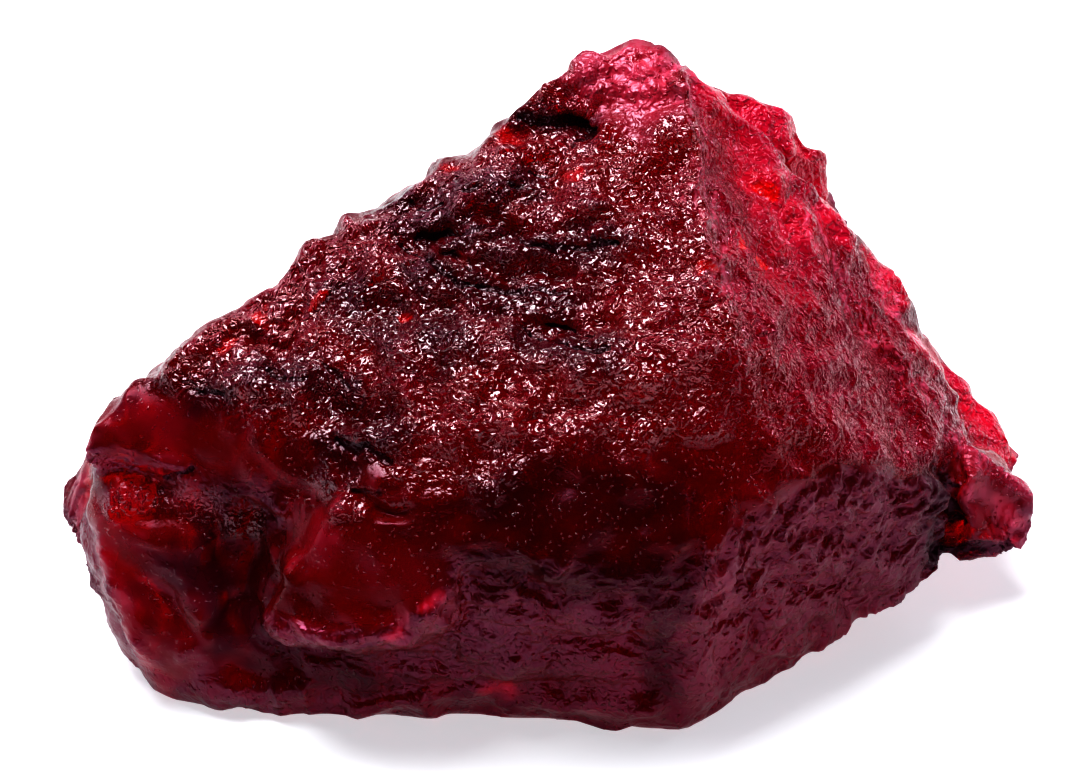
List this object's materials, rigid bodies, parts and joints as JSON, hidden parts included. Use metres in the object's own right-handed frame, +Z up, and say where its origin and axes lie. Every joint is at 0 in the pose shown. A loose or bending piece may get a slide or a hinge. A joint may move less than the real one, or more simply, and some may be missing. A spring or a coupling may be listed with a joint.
{
  "type": "raw ruby crystal",
  "caption": "Rough, broken piece of deep red see-through ruby, a low wedge with a pitted sloping top, steep front faces and a flat side to rest on.",
  "frame": {"origin": "middle of the bounding box at the height of the face that the stone rests on", "axes": "+X along the stone from its low left end to the knob at its right end, +Y to its back, +Z up"},
  "size_m": [0.0504, 0.0306, 0.0268],
  "materials": {
    "ruby": "deep red see-through stone with a half-gloss, finely pitted broken skin"
  },
  "bodies": {
    "root": {"ruby_crystal": "ruby"}
  },
  "joints": []
}
